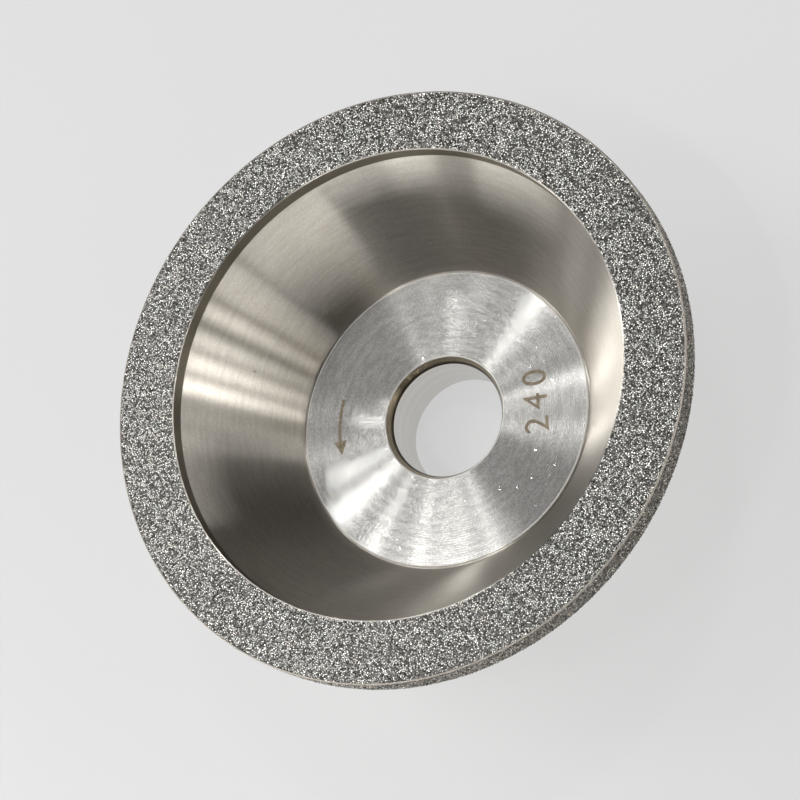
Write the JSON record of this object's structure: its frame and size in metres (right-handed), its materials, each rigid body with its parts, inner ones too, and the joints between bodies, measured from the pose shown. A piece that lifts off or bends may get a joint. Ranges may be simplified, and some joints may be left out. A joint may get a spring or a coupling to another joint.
{
  "type": "diamond grinding wheel",
  "caption": "Flared cup grinding wheel: a turned steel hub and cup with a central bore, and a diamond-plated ring round its rim.",
  "frame": {"origin": "centre of the bore at the hub's back face, the face that seats on the spindle's flange", "axes": "+Z along the bore's axis, out of the cup's mouth; X and Y are any pair across it, because the wheel is round"},
  "size_m": [0.1, 0.1, 0.035],
  "materials": {
    "turned_steel": "turned on a lathe and nickel-flashed, satin, with fine circular tool marks",
    "face_diamond_plating": "nickel bond crowded with fine diamond grains, rough and glittering",
    "edge_diamond_plating": "nickel bond crowded with fine diamond grains, rough and a little browner"
  },
  "bodies": {
    "root": {"wheel_body": "turned_steel", "face_diamond_layer": "face_diamond_plating", "edge_diamond_layer": "edge_diamond_plating"}
  },
  "joints": []
}
